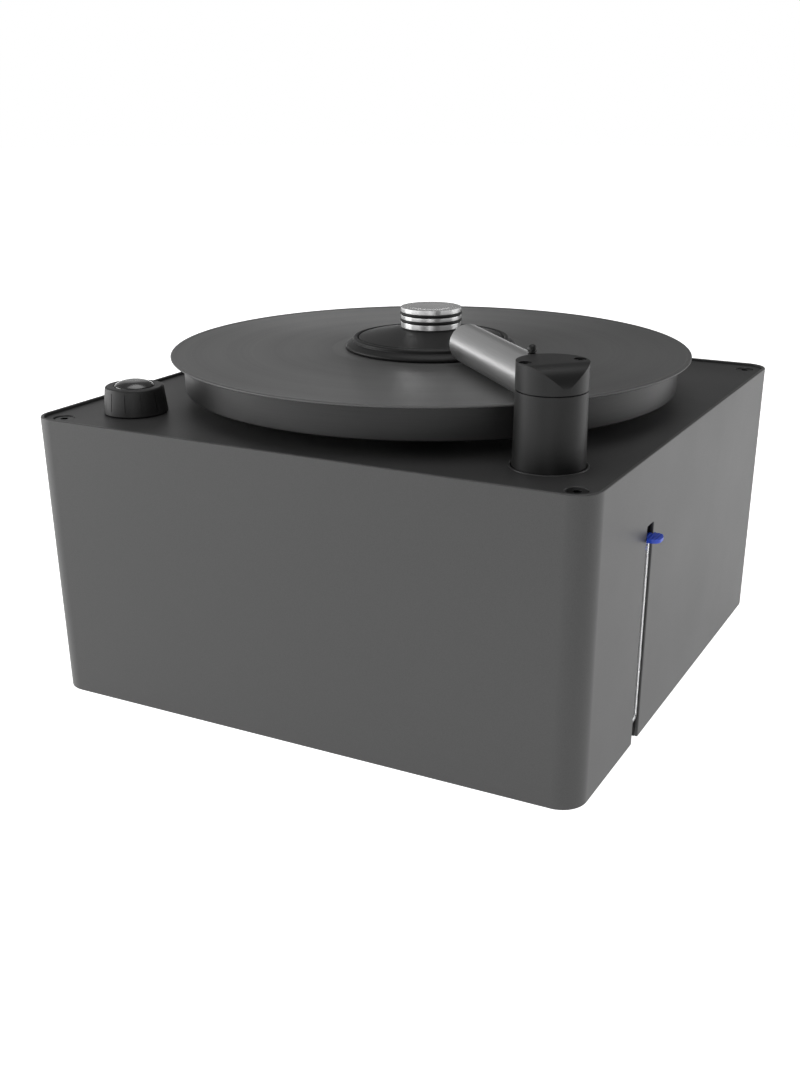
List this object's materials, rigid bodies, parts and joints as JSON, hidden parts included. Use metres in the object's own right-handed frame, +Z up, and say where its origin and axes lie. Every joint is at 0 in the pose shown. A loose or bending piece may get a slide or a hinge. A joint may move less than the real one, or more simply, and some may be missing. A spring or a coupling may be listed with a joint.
{
  "type": "record cleaning machine",
  "caption": "Vacuum record cleaning machine: square metal cabinet, driven platter with record and screw clamp, swivelling suction arm, control knob and side drain hose.",
  "frame": {"origin": "on the floor under the platter's axis, which is the middle of the square cabinet", "axes": "+Z up along the platter's axis, -Y towards the front panel, +X towards the side panel with the drain slot"},
  "size_m": [0.3327, 0.3296, 0.2217],
  "materials": {
    "cabinet_finish": "satin anodised anthracite with a fine grain",
    "plate_finish": "matt dark grey anodised",
    "zinc_steel": "zinc plated sheet",
    "black_fastener": "black oxide steel",
    "steel": "plain machined steel",
    "black_rubber": "soft black rubber",
    "platter_finish": "satin black turned aluminium",
    "record_vinyl": "pressed black vinyl with fine grooves",
    "bronze": "sintered bronze",
    "motor_shell": "plain painted motor casing",
    "black_plastic": "fine matt black moulding",
    "bright_aluminium": "polished turned aluminium",
    "brass": "turned brass",
    "black_metal": "satin black anodised",
    "arm_aluminium": "satin turned aluminium tube",
    "black_felt": "short black pile",
    "spring_steel": "bright spring wire",
    "tank_plastic": "natural white moulding",
    "hose_grey": "grey flexible hose",
    "foam": "closed cell foam",
    "clear_tube": "clear flexible tube",
    "blue_plastic": "moulded blue plastic",
    "gloss_black": "glossy black cap",
    "pin_brass": "plated contact",
    "board_green": "coated circuit board"
  },
  "bodies": {
    "chassis": {"shell": "cabinet_finish", "top_plate": "plate_finish", "corner_posts": "zinc_steel", "top_plate_screws": "black_fastener", "hidden_plate_screws": "black_fastener", "base_plate": "zinc_steel", "base_screws": "steel", "feet": "black_rubber", "foot_screws": "steel", "bearing_housing": "zinc_steel", "spindle_bearings": "bronze", "thrust_washer": "bronze", "drive_posts": "steel", "motor_bracket": "zinc_steel", "bracket_nuts": "steel", "gear_motor": "motor_shell", "column_guide": "black_plastic", "column_spring": "spring_steel", "tank": "tank_plastic", "tank_lid": "tank_plastic", "port_seal": "black_rubber", "suction_hose": "hose_grey", "vacuum_motor": "motor_shell", "motor_cushion": "black_rubber", "exhaust_gasket": "foam", "hose_channel": "black_plastic", "hose_bend": "clear_tube", "rotary_switch": "black_plastic", "power_inlet": "black_plastic", "inlet_pins": "pin_brass", "control_board": "board_green", "board_standoffs": "steel"},
    "turntable": {"platter": "platter_finish", "platter_mat": "black_rubber", "record_disc": "record_vinyl", "spindle": "steel", "shaft_coupling": "steel", "motor_shaft": "steel"},
    "clamp_disc": {"clamp_puck": "black_plastic", "clamp_seal": "black_rubber"},
    "clamp_grip": {"clamp_knob": "bright_aluminium", "clamp_o_rings": "black_rubber", "clamp_insert": "brass"},
    "arm_lift": {"lift_sleeve": "bronze"},
    "arm": {"arm_column": "black_metal", "arm_head": "black_metal", "arm_screws": "black_fastener", "arm_tube": "arm_aluminium", "tube_end_cap": "arm_aluminium", "suction_pads": "black_felt", "arm_pin": "black_metal", "column_clip": "spring_steel"},
    "fan_wheel": {"vacuum_impeller": "steel"},
    "drain_hose": {"level_hose": "clear_tube"},
    "hose_plug": {"drain_plug": "blue_plastic"},
    "selector": {"control_knob": "black_plastic", "knob_cap": "gloss_black", "switch_shaft": "steel"},
    "rocker": {"mains_rocker": "gloss_black"},
    "fuse_tray": {"fuse_drawer": "black_plastic"}
  },
  "joints": [
    {"name": "platter_spin", "type": "hinge", "parent": "chassis", "child": "turntable", "pos_m": [0, 0, 0.1753], "axis": [0, 0, 1], "continuous": true},
    {"name": "clamp_rise", "type": "slide", "parent": "turntable", "child": "clamp_disc", "axis": [0, 0, 1], "range_m": [0, 0.008]},
    {"name": "clamp_turn", "type": "hinge", "parent": "clamp_disc", "child": "clamp_grip", "pos_m": [0, 0, 0.2068], "axis": [0, 0, 1], "range_deg": [0, 720.1]},
    {"name": "arm_drop", "type": "slide", "parent": "chassis", "child": "arm_lift", "axis": [0, 0, 1], "range_m": [-0.00045, 0], "stiffness_N_per_m": 1500, "springref_m": 0.004, "deforming": ["column_spring"]},
    {"name": "arm_swivel", "type": "hinge", "parent": "arm_lift", "child": "arm", "pos_m": [0.123, -0.1176, 0.15], "axis": [0, 0, 1], "range_deg": [-85, 0]},
    {"name": "fan_spin", "type": "hinge", "parent": "chassis", "child": "fan_wheel", "pos_m": [-0.092, 0.088, 0.083], "axis": [0, 0, 1], "continuous": true},
    {"name": "hose_swing", "type": "hinge", "parent": "chassis", "child": "drain_hose", "pos_m": [0.1632, -0.0752, 0.024], "axis": [0, 1, 0], "range_deg": [0, 85]},
    {"name": "plug_pull", "type": "slide", "parent": "drain_hose", "child": "hose_plug", "axis": [0, 0, 1], "range_m": [0, 0.005]},
    {"name": "selector_turn", "type": "hinge", "parent": "chassis", "child": "selector", "pos_m": [-0.1234, -0.1209, 0.1689], "axis": [0, 0, 1], "range_deg": [-45, 45]},
    {"name": "mains_rocker_tip", "type": "hinge", "parent": "chassis", "child": "rocker", "pos_m": [0.095, 0.162, 0.0675], "axis": [1, 0, 0], "range_deg": [0, 16]},
    {"name": "fuse_drawer_pull", "type": "slide", "parent": "chassis", "child": "fuse_tray", "axis": [0, 1, 0], "range_m": [0, 0.015]}
  ],
  "couplings": [
    {"joint": "clamp_turn", "follows": "clamp_rise", "rad_per_m": 1570.8}
  ]
}
